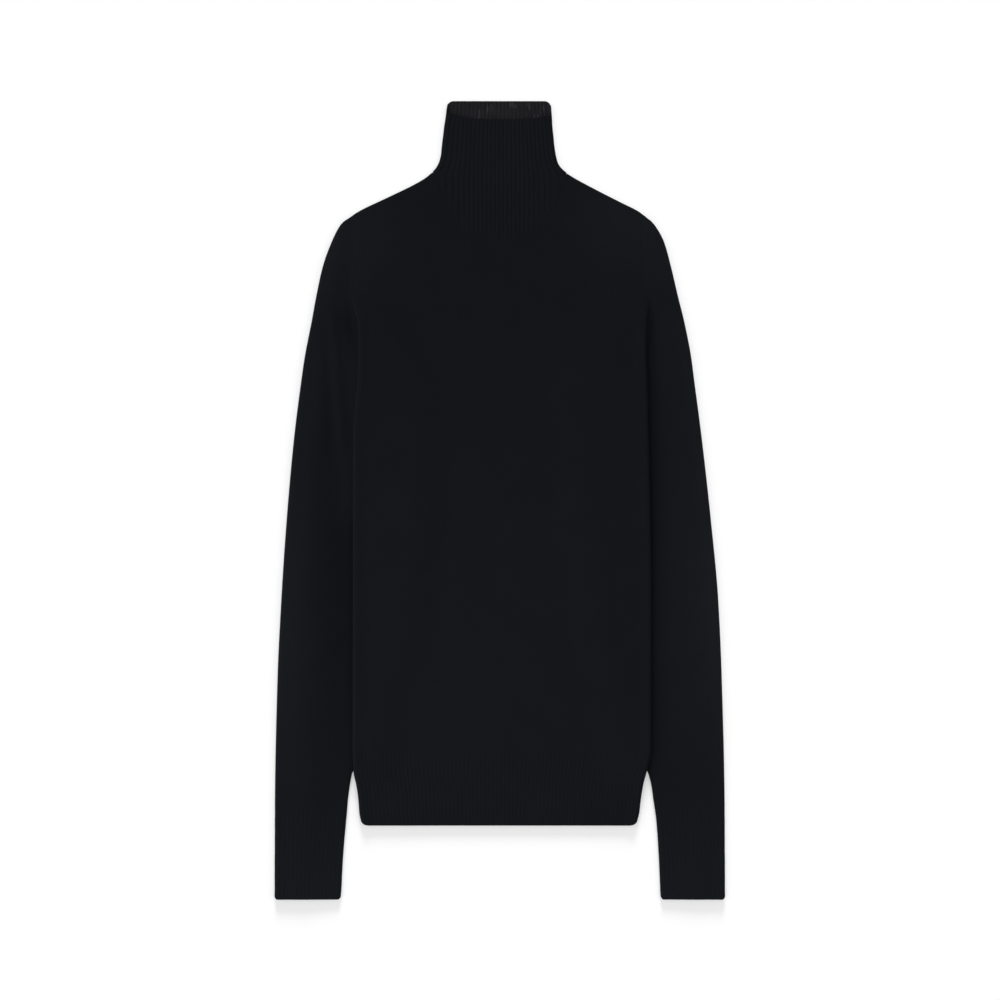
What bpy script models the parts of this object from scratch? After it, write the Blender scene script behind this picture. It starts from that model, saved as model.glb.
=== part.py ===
"""Fine-knit turtleneck sweater, laid flat on its back with the sleeves straight down beside it.

Metres. X runs across the garment (+X is the wearer's left), Y from the hem (-) to the collar (+)
and Z up from the surface that the garment lies on. The origin is the middle of its footprint.
Every piece is a wall of cloth, made as two matching grids of points, the outer and the inner face.
"""
import math
from collections import namedtuple

import bpy
import numpy as np

GARMENT = "turtleneck_sweater"

# Cloth
CLOTH = 0.0018            # thickness of the knit
LAYER_GAP = 0.0004        # air between two layers that lie on each other
SEAM = 0.0003             # parting between two pieces at a seam
RIB_HEIGHT = 0.0008       # how far a rib stands up from the furrow beside it
HEM_RIBS = 70             # ribs across the front, between the folds
COLLAR_RIBS = 25
CUFF_RIBS = 14
STACK = 2 * CLOTH + LAYER_GAP

# Lengths along Y
COLLAR_TOP = 0.4388
COLLAR_FRONT_DIP = 0.0205       # the front rim lies this much lower at the middle
COLLAR_SIDE_DIPS = (0.0145, 0.0170)     # and this much at the side folds, -X and +X
NECK_POINT = (0.0740, 0.3610)   # where shoulder seam and collar meet
NECK_DROP = 0.0750              # front neckline, below the neck point
BACK_NECK_DROP = 0.0160
SLEEVE_TOP_Y = 0.3050           # top of the sleeve's outer fold
UNDERARM_Y = 0.2235
HEM_RIB_TOP = -0.2748
HEM_Y = -0.3575
CUFF_RIB_TOP = -0.3360
CUFF_END_Y = -0.4388

# Folded edges
FOLD_ROUND = 0.0045       # how far in from its edge a fold starts to turn down
FOLD_RISE = 0.0008        # a fold stands this much higher than the cloth inside it
FOLD_REACH = 0.0160       # and comes down to it over this distance
FOLD_START = 0.0240       # below the underarm, where the armhole seam has become a fold
HEM_CORNER = 0.0060       # radius of the hem's lower corners
CUFF_CORNER = 0.0030
SLEEVE_TUCK = 0.0300      # below the underarm, where the sleeve starts to run in under the body
LIFT = STACK + SEAM       # the body's edge rides this high where it lies on a sleeve
LIFT_RAMP = 0.0500        # the body comes up to that height over this width
LIFT_LEAD = 0.0120        # and is up this far before it reaches the sleeve's hidden fold
LIFT_END = -0.3400        # near the hem the body is down on the surface again
LIFT_END_RAMP = 0.0400

# Half widths from the middle line, on the two sides
Width = namedtuple("Width", "y minus_x plus_x")
BODY_EDGE = (
    Width(-0.3575, 0.1524, 0.1509),
    Width(-0.3474, 0.1543, 0.1530),
    Width(-0.3298, 0.1555, 0.1551),
    Width(-0.3122, 0.1579, 0.1577),
    Width(-0.2979, 0.1609, 0.1614),
    Width(-0.2748, 0.1616, 0.1660),
    Width(-0.1050, 0.1613, 0.1663),
    Width(0.0500, 0.1612, 0.1640),
    Width(0.0880, 0.1604, 0.1630),
    Width(0.1090, 0.1586, 0.1627),
    Width(0.1290, 0.1563, 0.1621),
    Width(0.1640, 0.1555, 0.1610),
    Width(0.1930, 0.1559, 0.1611),
    Width(0.2110, 0.1600, 0.1630),
    Width(0.2235, 0.1637, 0.1652),
)
ARMHOLE = (
    Width(0.2235, 0.1637, 0.1652),
    Width(0.2420, 0.1590, 0.1600),
    Width(0.2700, 0.1568, 0.1568),
    Width(0.3155, 0.1580, 0.1580),
)
SLEEVE_OUTER = (
    Width(-0.4388, 0.2477, 0.2477),
    Width(-0.3300, 0.2472, 0.2471),
    Width(-0.1980, 0.2444, 0.2440),
    Width(-0.1100, 0.2402, 0.2401),
    Width(-0.0220, 0.2343, 0.2320),
    Width(0.0660, 0.2264, 0.2222),
    Width(0.1320, 0.2181, 0.2136),
    Width(0.1980, 0.2065, 0.2023),
    Width(0.2224, 0.2021, 0.1962),
    Width(0.2576, 0.1943, 0.1879),
    Width(0.2840, 0.1847, 0.1804),
    Width(0.3016, 0.1756, 0.1706),
    Width(0.3103, 0.1670, 0.1625),
)
SLEEVE_INNER = (
    Width(-0.4388, 0.1747, 0.1767),
    Width(-0.3826, 0.1715, 0.1741),
    Width(-0.3474, 0.1683, 0.1714),
    Width(-0.3298, 0.1669, 0.1688),
    Width(-0.3122, 0.1646, 0.1663),
    Width(-0.2979, 0.1619, 0.1624),
)
Hidden = namedtuple("Hidden", "y under_body")
SLEEVE_UNDER_BODY = (
    Hidden(-0.2979, -0.0010),
    Hidden(-0.2640, 0.0060),
    Hidden(-0.2200, 0.0160),
    Hidden(-0.1540, 0.0300),
    Hidden(-0.0660, 0.0430),
    Hidden(0.0220, 0.0510),
    Hidden(0.1100, 0.0510),
    Hidden(0.1480, 0.0390),
    Hidden(0.1770, 0.0140),
    Hidden(0.1935, -0.0006),
    Hidden(0.2235, -0.0003),
)
# How far the sleeve's upper layer arches up beside the body
Crown = namedtuple("Crown", "y height")
SLEEVE_CROWN = (
    Crown(-0.4388, 0.0012),
    Crown(-0.3360, 0.0020),
    Crown(-0.2500, 0.0036),
    Crown(0.1000, 0.0044),
    Crown(0.2235, 0.0036),
    Crown(0.3100, 0.0012),
)
CROWN_START = 0.08        # share of the width in sight where the arch begins
CROWN_TOP = 0.60          # where it is highest
CROWN_DROP = 0.65         # share of its height that it loses again towards the outer fold
CROWN_WIDTH = 0.0400      # a sleeve narrower than this arches less
Slope = namedtuple("Slope", "x minus_x plus_x")
SHOULDER = (
    Slope(0.0740, 0.3610, 0.3610),
    Slope(0.0813, 0.3544, 0.3544),
    Slope(0.0966, 0.3456, 0.3460),
    Slope(0.1147, 0.3368, 0.3366),
    Slope(0.1334, 0.3280, 0.3271),
    Slope(0.1518, 0.3192, 0.3178),
    Slope(0.1580, 0.3155, 0.3133),
)
COLLAR_EDGE = (
    Width(0.3610, 0.0740, 0.0740),
    Width(0.3632, 0.0717, 0.0700),
    Width(0.3720, 0.0667, 0.0636),
    Width(0.3808, 0.0648, 0.0614),
    Width(0.3984, 0.0630, 0.0592),
    Width(0.4182, 0.0602, 0.0576),
    Width(0.4388, 0.0572, 0.0562),
)

# Grids
FOLD_STEPS = 3            # steps in a quarter turn of a fold
LEVELS = (-0.2200, -0.1540, -0.0660, 0.0220, 0.0904, 0.1201, 0.1420, 0.1600, 0.1770, 0.1900,
          0.2060)             # rows of the panels and the sleeves between the ribs and the underarm
SLEEVE_LEVELS = (-0.3122, -0.2979, HEM_RIB_TOP)    # rows of the sleeves beside the hem's ribs
ARMHOLE_STEPS = 5         # rows above the underarm
SHOULDER_COLUMNS = 5
FRONT_NECK_COLUMNS = 22
BACK_NECK_COLUMNS = 16
SLEEVE_INNER_COLUMNS = 2  # across the front, before the arch of the sleeve
SLEEVE_ARCH_COLUMNS = 7
SLEEVE_INNER_SHARE = 0.2  # least share of the front that comes before the arch
SLEEVE_BACK_COLUMNS = 3
HEM_ROWS = 3
CUFF_ROWS = 3
COLLAR_ROWS = 6
COLLAR_BACK_COLUMNS = 18
PLAIN_HEM_COLUMNS = 30
POINTS_PER_RIB = 2

NAVY = (0.0086, 0.0090, 0.0110, 1.0)
MINUS_X = -1
PLUS_X = 1


def remove_scene_objects():
    for thing in list(bpy.data.objects):
        bpy.data.objects.remove(thing, do_unlink=True)


def smooth_step(value):
    value = min(max(value, 0.0), 1.0)
    return value * value * (3.0 - 2.0 * value)


def through(rows, column, at):
    """A smooth curve through one column of a table, without overshoot, read at a place."""
    places = [row[0] for row in rows]
    values = [getattr(row, column) for row in rows]
    at = min(max(at, places[0]), places[-1])
    last = len(places) - 1
    gaps = [places[i + 1] - places[i] for i in range(last)]
    slopes = [(values[i + 1] - values[i]) / gaps[i] for i in range(last)]
    tangents = [slopes[0]]
    for i in range(1, last):
        before, after = slopes[i - 1], slopes[i]
        tangents.append(0.0 if before * after <= 0.0 else 2.0 * before * after / (before + after))
    tangents.append(slopes[-1])
    i = 0
    while i < last - 1 and at > places[i + 1]:
        i += 1
    t = (at - places[i]) / gaps[i]
    start = (1.0 + 2.0 * t) * (1.0 - t) ** 2 * values[i] + t * (1.0 - t) ** 2 * gaps[i] * tangents[i]
    end = t * t * (3.0 - 2.0 * t) * values[i + 1] - t * t * (1.0 - t) * gaps[i] * tangents[i + 1]
    return start + end


def column_of(side):
    return "plus_x" if side > 0 else "minus_x"


def panel_edge(y, side):
    """Half width of a body panel: the side fold, and above the underarm the armhole seam."""
    if y >= UNDERARM_Y:
        return through(ARMHOLE, column_of(side), y) - SEAM / 2
    return through(BODY_EDGE, column_of(side), y)


def sleeve_inner(y, side):
    """The sleeve's inner edge: armhole seam, then the fold hidden under the body, then in sight."""
    column = column_of(side)
    if y >= UNDERARM_Y:
        return through(ARMHOLE, column, y) + SEAM / 2
    if y >= SLEEVE_UNDER_BODY[0].y:
        return through(BODY_EDGE, column, y) - through(SLEEVE_UNDER_BODY, "under_body", y)
    return through(SLEEVE_INNER, column, y)


def folded(y):
    """0 where an edge is an armhole seam, 1 where it is a fold."""
    return smooth_step((UNDERARM_Y - y) / FOLD_START)


def corner(y, from_edge, end_y, radius):
    """How far up the rounded corner of an open end pulls the cloth."""
    inside = max(0.0, 1.0 - from_edge / radius)
    near_end = 1.0 - smooth_step((y - end_y) / (4.0 * radius))
    return radius * (1.0 - math.sqrt(1.0 - inside * inside)) * near_end


def lift(x, y, side):
    """Height of the body's underside: on the surface in the middle, on the sleeves at its edges."""
    down_from_underarm = smooth_step((UNDERARM_Y - y) / SLEEVE_TUCK)
    up_from_hem = smooth_step((y - LIFT_END) / LIFT_END_RAMP)
    sleeve_fold = sleeve_inner(max(y, SLEEVE_UNDER_BODY[0].y), side)
    ramp_end = min(sleeve_fold, panel_edge(y, side)) - LIFT_LEAD
    across = smooth_step((abs(x) - ramp_end + LIFT_RAMP) / LIFT_RAMP)
    return LIFT * down_from_underarm * up_from_hem * across


def body_height(x, y, side):
    """From the back's underside to the front's top."""
    from_edge = panel_edge(y, side) - abs(x)
    rise = FOLD_RISE * folded(y) * (1.0 - smooth_step(from_edge / FOLD_REACH))
    return STACK + rise


def neckline(x, drop, shift):
    """A rounded U between the neck points, moved by shift square to itself."""
    share = abs(x) / NECK_POINT[0]
    slope = 3.0 * drop / NECK_POINT[0] * share ** 2
    return NECK_POINT[1] - drop * (1.0 - share ** 3) + shift * math.sqrt(1.0 + slope * slope)


def panel_top(x, drop):
    """Top edge of a body panel: neckline, then the shoulder fold."""
    if abs(x) <= NECK_POINT[0]:
        return neckline(x, drop, -SEAM / 2)
    return through(SHOULDER, column_of(x), abs(x))


def quarter_turn():
    """Angles from the flat cloth, 0, to the tip of a fold, a right angle."""
    return [math.radians(90.0 * step / FOLD_STEPS) for step in range(FOLD_STEPS + 1)]


def rib_wave(column):
    """0 in a furrow and 1 on a rib, in a row of columns that takes POINTS_PER_RIB for each."""
    return 0.5 - 0.5 * math.cos(math.tau * column / POINTS_PER_RIB)


def wall(name, outer, inner, ring):
    """A closed wall of cloth between two grids of the same size; ring joins the last column to
    the first."""
    outer = np.array(outer)
    inner = np.array(inner)
    rows, columns = outer.shape[:2]
    count = rows * columns
    points = np.concatenate([outer.reshape(-1, 3), inner.reshape(-1, 3)])

    def spot(row, column, layer):
        return layer * count + row * columns + column % columns

    faces = []
    for row in range(rows - 1):
        for column in range(columns if ring else columns - 1):
            for layer in (0, 1):
                face = [spot(row, column, layer), spot(row, column + 1, layer)]
                face += [spot(row + 1, column + 1, layer), spot(row + 1, column, layer)]
                faces.append(face[::-1] if layer else face)
    for row, turn in ((0, -1), (rows - 1, 1)):
        for column in range(columns if ring else columns - 1):
            face = [spot(row, column, 0), spot(row, column + 1, 0)]
            face += [spot(row, column + 1, 1), spot(row, column, 1)]
            faces.append(face[::turn])
    if not ring:
        for column, turn in ((0, 1), (columns - 1, -1)):
            for row in range(rows - 1):
                face = [spot(row, column, 0), spot(row + 1, column, 0)]
                face += [spot(row + 1, column, 1), spot(row, column, 1)]
                faces.append(face[::turn])
    mesh = bpy.data.meshes.new(name)
    mesh.from_pydata([tuple(point) for point in points], [], faces)
    if signed_volume(points, faces) < 0.0:
        mesh.flip_normals()
    mesh.shade_smooth()
    mesh.set_sharp_from_angle(angle=math.radians(50.0))
    piece = bpy.data.objects.new(name, mesh)
    bpy.data.collections[GARMENT].objects.link(piece)
    piece.data.materials.append(knit_material(name))
    return piece


def signed_volume(points, faces):
    volume = 0.0
    for a, b, c, d in faces:
        volume += np.dot(points[a], np.cross(points[b], points[c]))
        volume += np.dot(points[a], np.cross(points[c], points[d]))
    return volume


def knit_material(name):
    material = bpy.data.materials.new(name + "_knit")
    material.use_nodes = True
    shader = material.node_tree.nodes["Principled BSDF"]
    shader.inputs["Base Color"].default_value = NAVY
    shader.inputs["Roughness"].default_value = 0.95
    shader.inputs["Metallic"].default_value = 0.0
    material.diffuse_color = NAVY
    return material


# ---------------------------------------------------------------- body panels and hem

Column = namedtuple("Column", "side share turn rib")


def panel_columns(inner_shares, ribbed):
    """Columns from -X to +X: a fold, flat cloth at the given shares of the half width, a fold."""
    turns = quarter_turn()
    columns = [Column(MINUS_X, 1.0, turn, 0.0) for turn in turns[:0:-1]]
    last = len(inner_shares) - 1
    for index, share in enumerate(inner_shares):
        side = MINUS_X if share < 0.0 else PLUS_X
        raised = rib_wave(index) if ribbed and 0 < index < last else 0.0
        columns.append(Column(side, abs(share), 0.0, raised))
    return columns + [Column(PLUS_X, 1.0, turn, 0.0) for turn in turns[1:]]


def panel_point(column, y, front, top_turn, top_fold):
    """The outer and inner point of a body panel, front or back, at one column and height.
    top_turn and top_fold bend it down to the shoulder fold as a column bends to the side fold."""
    side = column.side
    edge = panel_edge(y, side)
    fold = folded(y)
    flat_width = edge - FOLD_ROUND
    reach = FOLD_ROUND * (1.0 - math.sin(column.turn))
    inner_reach = FOLD_ROUND - (FOLD_ROUND - CLOTH) * math.sin(column.turn)
    if column.turn == 0.0:
        outer_x = inner_x = flat_width * column.share
    else:
        outer_x = edge - reach
        inner_x = edge - (fold * inner_reach + (1.0 - fold) * reach)
    height = body_height(outer_x, y, side)
    base = lift(outer_x, y, side)
    bend = 1.0 - fold * (1.0 - math.cos(column.turn))
    bend *= 1.0 - top_fold * (1.0 - math.cos(top_turn))
    middle = base + height / 2
    facing = 1.0 if front else -1.0
    parting = SEAM / 2 if bend < 0.5 else 0.0
    outer_z = middle + facing * max(height / 2 * bend + column.rib * RIB_HEIGHT, parting)
    inner_z = middle + facing * max((height / 2 - CLOTH) * bend, SEAM / 2)
    y += corner(y, edge - outer_x, HEM_Y, HEM_CORNER)
    return (side * outer_x, y, outer_z), (side * inner_x, y, inner_z)


def body_panel(name, front):
    drop = NECK_DROP if front else BACK_NECK_DROP
    neck_share = NECK_POINT[0] / (panel_edge(NECK_POINT[1], PLUS_X) - FOLD_ROUND)
    neck_columns = FRONT_NECK_COLUMNS if front else BACK_NECK_COLUMNS
    neck = list(np.linspace(0.0, neck_share, neck_columns // 2 + 1))
    shoulder = list(np.linspace(neck_share, 1.0, SHOULDER_COLUMNS + 1))
    half = neck + shoulder[1:]
    shares = [-share for share in half[:0:-1]] + half
    columns = panel_columns(shares, False)
    turns = quarter_turn()[1:]
    outer_rows, inner_rows = [], []
    below = [HEM_RIB_TOP + SEAM / 2, *LEVELS]
    for row in range(len(below) + ARMHOLE_STEPS + len(turns) + 1):
        outer_row, inner_row = [], []
        for column in columns:
            # the column's top is found where its own line meets the shoulder or neckline
            top = NECK_POINT[1]
            for _ in range(6):
                place = panel_point(column, top, front, 0.0, 0.0)[0][0]
                top = panel_top(place, drop)
            shoulder_fold = 1.0 if abs(place) > NECK_POINT[0] + 1e-6 else 0.0
            above = row - len(below)
            if above < 0:
                outer, inner = panel_point(column, below[row], front, 0.0, 0.0)
            elif above <= ARMHOLE_STEPS:
                y = UNDERARM_Y + (top - FOLD_ROUND - UNDERARM_Y) * above / ARMHOLE_STEPS
                outer, inner = panel_point(column, y, front, 0.0, 0.0)
            else:
                turn = turns[above - ARMHOLE_STEPS - 1]
                y = top - FOLD_ROUND * (1.0 - math.sin(turn))
                outer, inner = panel_point(column, y, front, turn, shoulder_fold)
                if shoulder_fold:
                    inner_y = top - FOLD_ROUND + (FOLD_ROUND - CLOTH) * math.sin(turn)
                    inner = (inner[0], inner_y, inner[2])
            outer_row.append(outer)
            inner_row.append(inner)
        outer_rows.append(outer_row)
        inner_rows.append(inner_row)
    return wall(name, outer_rows, inner_rows, False)


def hem_rib(name, front):
    if front:
        shares = list(np.linspace(-1.0, 1.0, HEM_RIBS * POINTS_PER_RIB + 1))
    else:
        shares = list(np.linspace(-1.0, 1.0, PLAIN_HEM_COLUMNS + 1))
    columns = panel_columns(shares, front)
    outer_rows, inner_rows = [], []
    for row in range(HEM_ROWS + 1):
        y = HEM_Y + (HEM_RIB_TOP - SEAM / 2 - HEM_Y) * row / HEM_ROWS
        points = [panel_point(column, y, front, 0.0, 0.0) for column in columns]
        outer_rows.append([outer for outer, _ in points])
        inner_rows.append([inner for _, inner in points])
    return wall(name, outer_rows, inner_rows, False)


# ---------------------------------------------------------------- sleeves and cuffs

def sleeve_section(y_inner, y_outer, side, ribs):
    """A flattened loop of cloth, open at the underarm seam: front, outer fold, back."""
    inner_edge = sleeve_inner(y_inner, side)
    outer_edge = through(SLEEVE_OUTER, column_of(side), y_outer)
    fold = folded(y_inner)
    turns = quarter_turn()
    outer, inner = [], []
    # the part in sight arches; what lies under the body is pressed flat
    in_sight = inner_edge if y_inner >= UNDERARM_Y else max(panel_edge(y_inner, side), inner_edge)
    width = outer_edge - in_sight
    crown = through(SLEEVE_CROWN, "height", y_inner) * smooth_step(width / CROWN_WIDTH)

    def add(x, z, inner_x, inner_z):
        share = (x - inner_edge) / (outer_edge - inner_edge)
        y = y_inner + (y_outer - y_inner) * share
        y += corner(y, min(x - inner_edge, outer_edge - x), CUFF_END_Y, CUFF_CORNER)
        outer.append((side * x, y, z))
        inner.append((side * inner_x, y, inner_z))

    def height(x):
        share = (x - in_sight) / width
        arch = smooth_step((share - CROWN_START) / (CROWN_TOP - CROWN_START))
        arch *= 1.0 - CROWN_DROP * smooth_step((share - CROWN_TOP) / (1.0 - CROWN_TOP))
        rise = FOLD_RISE * (1.0 - smooth_step((outer_edge - x) / FOLD_REACH))
        return STACK + rise + crown * arch

    def add_seam_end(turn, facing):
        reach = FOLD_ROUND * (1.0 - math.sin(turn))
        round_reach = FOLD_ROUND - (FOLD_ROUND - CLOTH) * math.sin(turn)
        bend = 1.0 - fold * (1.0 - math.cos(turn))
        x = inner_edge + reach
        inner_x = inner_edge + fold * round_reach + (1.0 - fold) * reach
        half = height(x) / 2
        z = half + facing * max(half * bend, SEAM / 2)
        inner_z = half + facing * max((half - CLOTH) * bend, SEAM / 2)
        add(x, z, inner_x, inner_z)

    for turn in turns[:0:-1]:
        add_seam_end(turn, 1.0)
    outer_round = min(FOLD_ROUND, 0.5 * (outer_edge - inner_edge))
    start = inner_edge + min(FOLD_ROUND, 0.4 * (outer_edge - inner_edge))
    end = outer_edge - outer_round
    if ribs:
        across = list(np.linspace(start, end, ribs * POINTS_PER_RIB + 1))
    else:
        middle = max(in_sight, start + (end - start) * SLEEVE_INNER_SHARE)
        across = list(np.linspace(start, middle, SLEEVE_INNER_COLUMNS + 1))
        across += list(np.linspace(middle, end, SLEEVE_ARCH_COLUMNS + 1))[1:]
    for index, x in enumerate(across):
        raised = RIB_HEIGHT * rib_wave(index) if ribs and 0 < index < len(across) - 1 else 0.0
        add(x, height(x) + raised, x, height(x) - CLOTH)
    half = height(outer_edge) / 2
    for step in range(1, 2 * FOLD_STEPS):
        angle = math.radians(90.0 * step / FOLD_STEPS)
        x = end + outer_round * math.sin(angle)
        inner_x = end + (outer_round - CLOTH) * math.sin(angle)
        add(x, half + half * math.cos(angle), inner_x, half + (half - CLOTH) * math.cos(angle))
    for index in range(SLEEVE_BACK_COLUMNS + 1):
        x = end + (start - end) * index / SLEEVE_BACK_COLUMNS
        add(x, 0.0, x, CLOTH)
    for turn in turns[1:]:
        add_seam_end(turn, -1.0)
    return outer, inner


def sleeve(name, side):
    outer_rows, inner_rows = [], []
    seam_top = getattr(SHOULDER[-1], column_of(side))
    rows = [(y, y) for y in (CUFF_RIB_TOP + SEAM / 2, *SLEEVE_LEVELS, *LEVELS)]
    for step in range(ARMHOLE_STEPS + 1):
        # the rows turn from level at the underarm to the slope of the shoulder at the top
        share = step / ARMHOLE_STEPS
        y_inner = UNDERARM_Y + (seam_top - UNDERARM_Y) * share
        rows.append((y_inner, UNDERARM_Y + (SLEEVE_TOP_Y - UNDERARM_Y) * share))
    for y_inner, y_outer in rows:
        outer, inner = sleeve_section(y_inner, y_outer, side, 0)
        outer_rows.append(outer)
        inner_rows.append(inner)
    return wall(name, outer_rows, inner_rows, False)


def cuff(name, side):
    outer_rows, inner_rows = [], []
    for row in range(CUFF_ROWS + 1):
        y = CUFF_END_Y + (CUFF_RIB_TOP - SEAM / 2 - CUFF_END_Y) * row / CUFF_ROWS
        outer, inner = sleeve_section(y, y, side, CUFF_RIBS)
        outer_rows.append(outer)
        inner_rows.append(inner)
    return wall(name, outer_rows, inner_rows, False)


# ---------------------------------------------------------------- collar

def collar_rim(share):
    """Height of the front rim, which dips below the straight back rim in a shallow curve."""
    side_dip = COLLAR_SIDE_DIPS[0] if share < 0.0 else COLLAR_SIDE_DIPS[1]
    return COLLAR_TOP - COLLAR_FRONT_DIP + (COLLAR_FRONT_DIP - side_dip) * abs(share) ** 3


def collar(name):
    flat = NECK_POINT[0] - FOLD_ROUND
    turns = [math.radians(90.0 * step / FOLD_STEPS) for step in range(1, 2 * FOLD_STEPS)]
    front = list(np.linspace(-1.0, 1.0, COLLAR_RIBS * POINTS_PER_RIB + 1))
    back = list(np.linspace(1.0, -1.0, COLLAR_BACK_COLUMNS + 1))
    outer_rows, inner_rows = [], []
    for row in range(COLLAR_ROWS + 1):
        down = row / COLLAR_ROWS
        outer_row, inner_row = [], []

        def add(share, turn, is_front, raised):
            side = MINUS_X if share < 0.0 else PLUS_X
            # share of the flat width on the front and back; 1 with a turn on the side folds
            across = abs(share) * flat / NECK_POINT[0] + (1.0 - flat / NECK_POINT[0]) * math.sin(turn)
            toward_back = smooth_step((1.0 - math.cos(turn)) / 2) if abs(share) == 1.0 else 0.0
            toward_back = toward_back if is_front or turn else 1.0
            rim = collar_rim(share) * (1.0 - toward_back) + COLLAR_TOP * toward_back
            width = NECK_POINT[0] * across - SEAM
            front_foot = neckline(width, NECK_DROP, SEAM / 2)
            back_foot = neckline(width, BACK_NECK_DROP, SEAM / 2)
            foot = front_foot * (1.0 - toward_back) + back_foot * toward_back
            y = rim + (foot - rim) * down
            edge = through(COLLAR_EDGE, column_of(side), y) - SEAM
            edge_flat = edge - FOLD_ROUND
            x = edge_flat * abs(share) + FOLD_ROUND * math.sin(turn)
            inner_x = edge_flat * abs(share) + (FOLD_ROUND - CLOTH) * math.sin(turn)
            half = STACK / 2
            cosine = math.cos(turn) if is_front else -1.0
            z = half + half * cosine + raised
            inner_z = half + (half - CLOTH) * cosine
            outer_row.append((side * x, y, z))
            inner_row.append((side * inner_x, y, inner_z))

        for index, share in enumerate(front):
            inside = 0 < index < len(front) - 1
            add(share, 0.0, True, RIB_HEIGHT * rib_wave(index) if inside else 0.0)
        for turn in turns:
            add(1.0, turn, True, 0.0)
        for share in back:
            add(share, 0.0, False, 0.0)
        for turn in turns[::-1]:
            add(-1.0, turn, True, 0.0)
        outer_rows.append(outer_row)
        inner_rows.append(inner_row)
    return wall(name, outer_rows, inner_rows, True)


def build():
    remove_scene_objects()
    bpy.context.scene.collection.children.link(bpy.data.collections.new(GARMENT))
    body_panel("front_panel", True)
    body_panel("back_panel", False)
    hem_rib("hem_rib_front", True)
    hem_rib("hem_rib_back", False)
    for side, word in ((PLUS_X, "left"), (MINUS_X, "right")):
        sleeve("sleeve_" + word, side)
        cuff("cuff_" + word, side)
    collar("collar")


build()
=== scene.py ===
"""Looks of a fine-knit turtleneck sweater, laid flat on its back with its sleeves straight down.

Metres. +X is the wearer's left, +Y runs from the hem to the collar, +Z is up from the surface.
Each piece is a grid laid point by point along the middle of its cloth, then given its thickness.
"""
import math
from collections import namedtuple

import bpy
import numpy as np
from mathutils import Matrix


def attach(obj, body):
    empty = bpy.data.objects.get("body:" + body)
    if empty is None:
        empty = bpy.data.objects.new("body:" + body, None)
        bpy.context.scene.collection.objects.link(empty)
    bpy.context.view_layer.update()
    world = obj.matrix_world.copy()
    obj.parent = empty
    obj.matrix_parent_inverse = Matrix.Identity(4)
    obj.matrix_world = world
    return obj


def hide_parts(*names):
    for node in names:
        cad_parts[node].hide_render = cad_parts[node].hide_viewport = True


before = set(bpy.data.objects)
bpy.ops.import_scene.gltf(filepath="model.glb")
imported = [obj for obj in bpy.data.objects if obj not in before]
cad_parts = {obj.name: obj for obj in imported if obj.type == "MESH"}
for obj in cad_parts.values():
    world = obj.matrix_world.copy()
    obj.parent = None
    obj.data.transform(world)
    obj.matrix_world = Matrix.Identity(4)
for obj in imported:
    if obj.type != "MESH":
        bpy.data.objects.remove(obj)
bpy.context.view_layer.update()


def table(columns, rows):
    """Rows of numbers, with names for their columns."""
    row_kind = namedtuple("Row", columns)
    return [row_kind(*row) for row in rows]


# ---- sizes
# Those of the solids, apart from what is marked as eased and the sizes of ribs and stitches
CLOTH = 0.0018  # thickness of the knit
LAYER_GAP = 0.0004
SEAM = 0.0003  # parting between two pieces
STACK = 2 * CLOTH + LAYER_GAP
RIB_CLOTH = 0.0013  # thickness of the ground under the ribs
RIB_HEIGHT = 0.0008
RIB_PITCH = 0.0046
COLLAR_RIBS = 25
HEM_RIBS = 70
CUFF_RIBS = 14
FOLD_RIBS = 2  # ribs on the way round a fold
WALE = RIB_PITCH / 3  # width of a stitch
COURSE = 0.00118  # height of a stitch

COLLAR_TOP = 0.4388
COLLAR_FRONT_DIP = 0.0205  # the front rim lies this much lower at the middle
COLLAR_SIDE_DIPS = (0.0145, 0.0170)  # and this much at the side folds, -X and +X
NECK_POINT = (0.0740, 0.3597)  # where shoulder seam and collar meet; eased
NECK_TILT = 0.0007  # eased: the neck point on +X lies lower by this, the one on -X higher
NECK_SLOPE = 0.85  # of the shoulder at the neck points; eased
NECK_DROP = 0.0737  # front neckline, below the neck point; eased
BACK_NECK_DROP = 0.0147  # eased
NECK_CURVE = 3  # the higher, the flatter neckline and front rim at the middle
SLEEVE_TOP_Y = 0.3050
UNDERARM_Y = 0.2235
HEM_RIB_TOP = -0.2748
HEM_Y = -0.3575
CUFF_RIB_TOP = -0.3360
CUFF_END_Y = -0.4388

FOLD_ROUND = 0.0045  # how far in from its edge a fold starts to turn down
BODY_FOLD_RISE = 0.0014  # a fold stands this much higher than the cloth inside it; eased
SLEEVE_FOLD_RISE = 0.0008
FOLD_REACH = 0.0160  # and comes down to it over this distance
FOLD_START = 0.0400  # below the underarm, where the armhole seam has become a fold; eased
HEM_CORNER = (0.0100, 0.0045)  # rounded corners of the open ends, wide and tall; eased
CUFF_CORNER = (0.0030, 0.0030)
COLLAR_CORNERS = ((0.0070, 0.0036), (0.0080, 0.0050))  # on -X and +X; eased
CORNER_REACH = 4.0  # a corner bends the cloth this many times its own height up
SLEEVE_TUCK = 0.0300  # below the underarm, where the sleeve starts to run in under the body
LIFT = STACK + SEAM  # the body's edge rides this high where it lies on a sleeve
LIFT_RAMP = 0.0500  # the body comes up to that height over this width
LIFT_LEAD = 0.0120  # and is up this far before the sleeve's hidden fold
LIFT_END = -0.3400  # near the hem the body is down on the surface again
LIFT_END_RAMP = 0.0400

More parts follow.
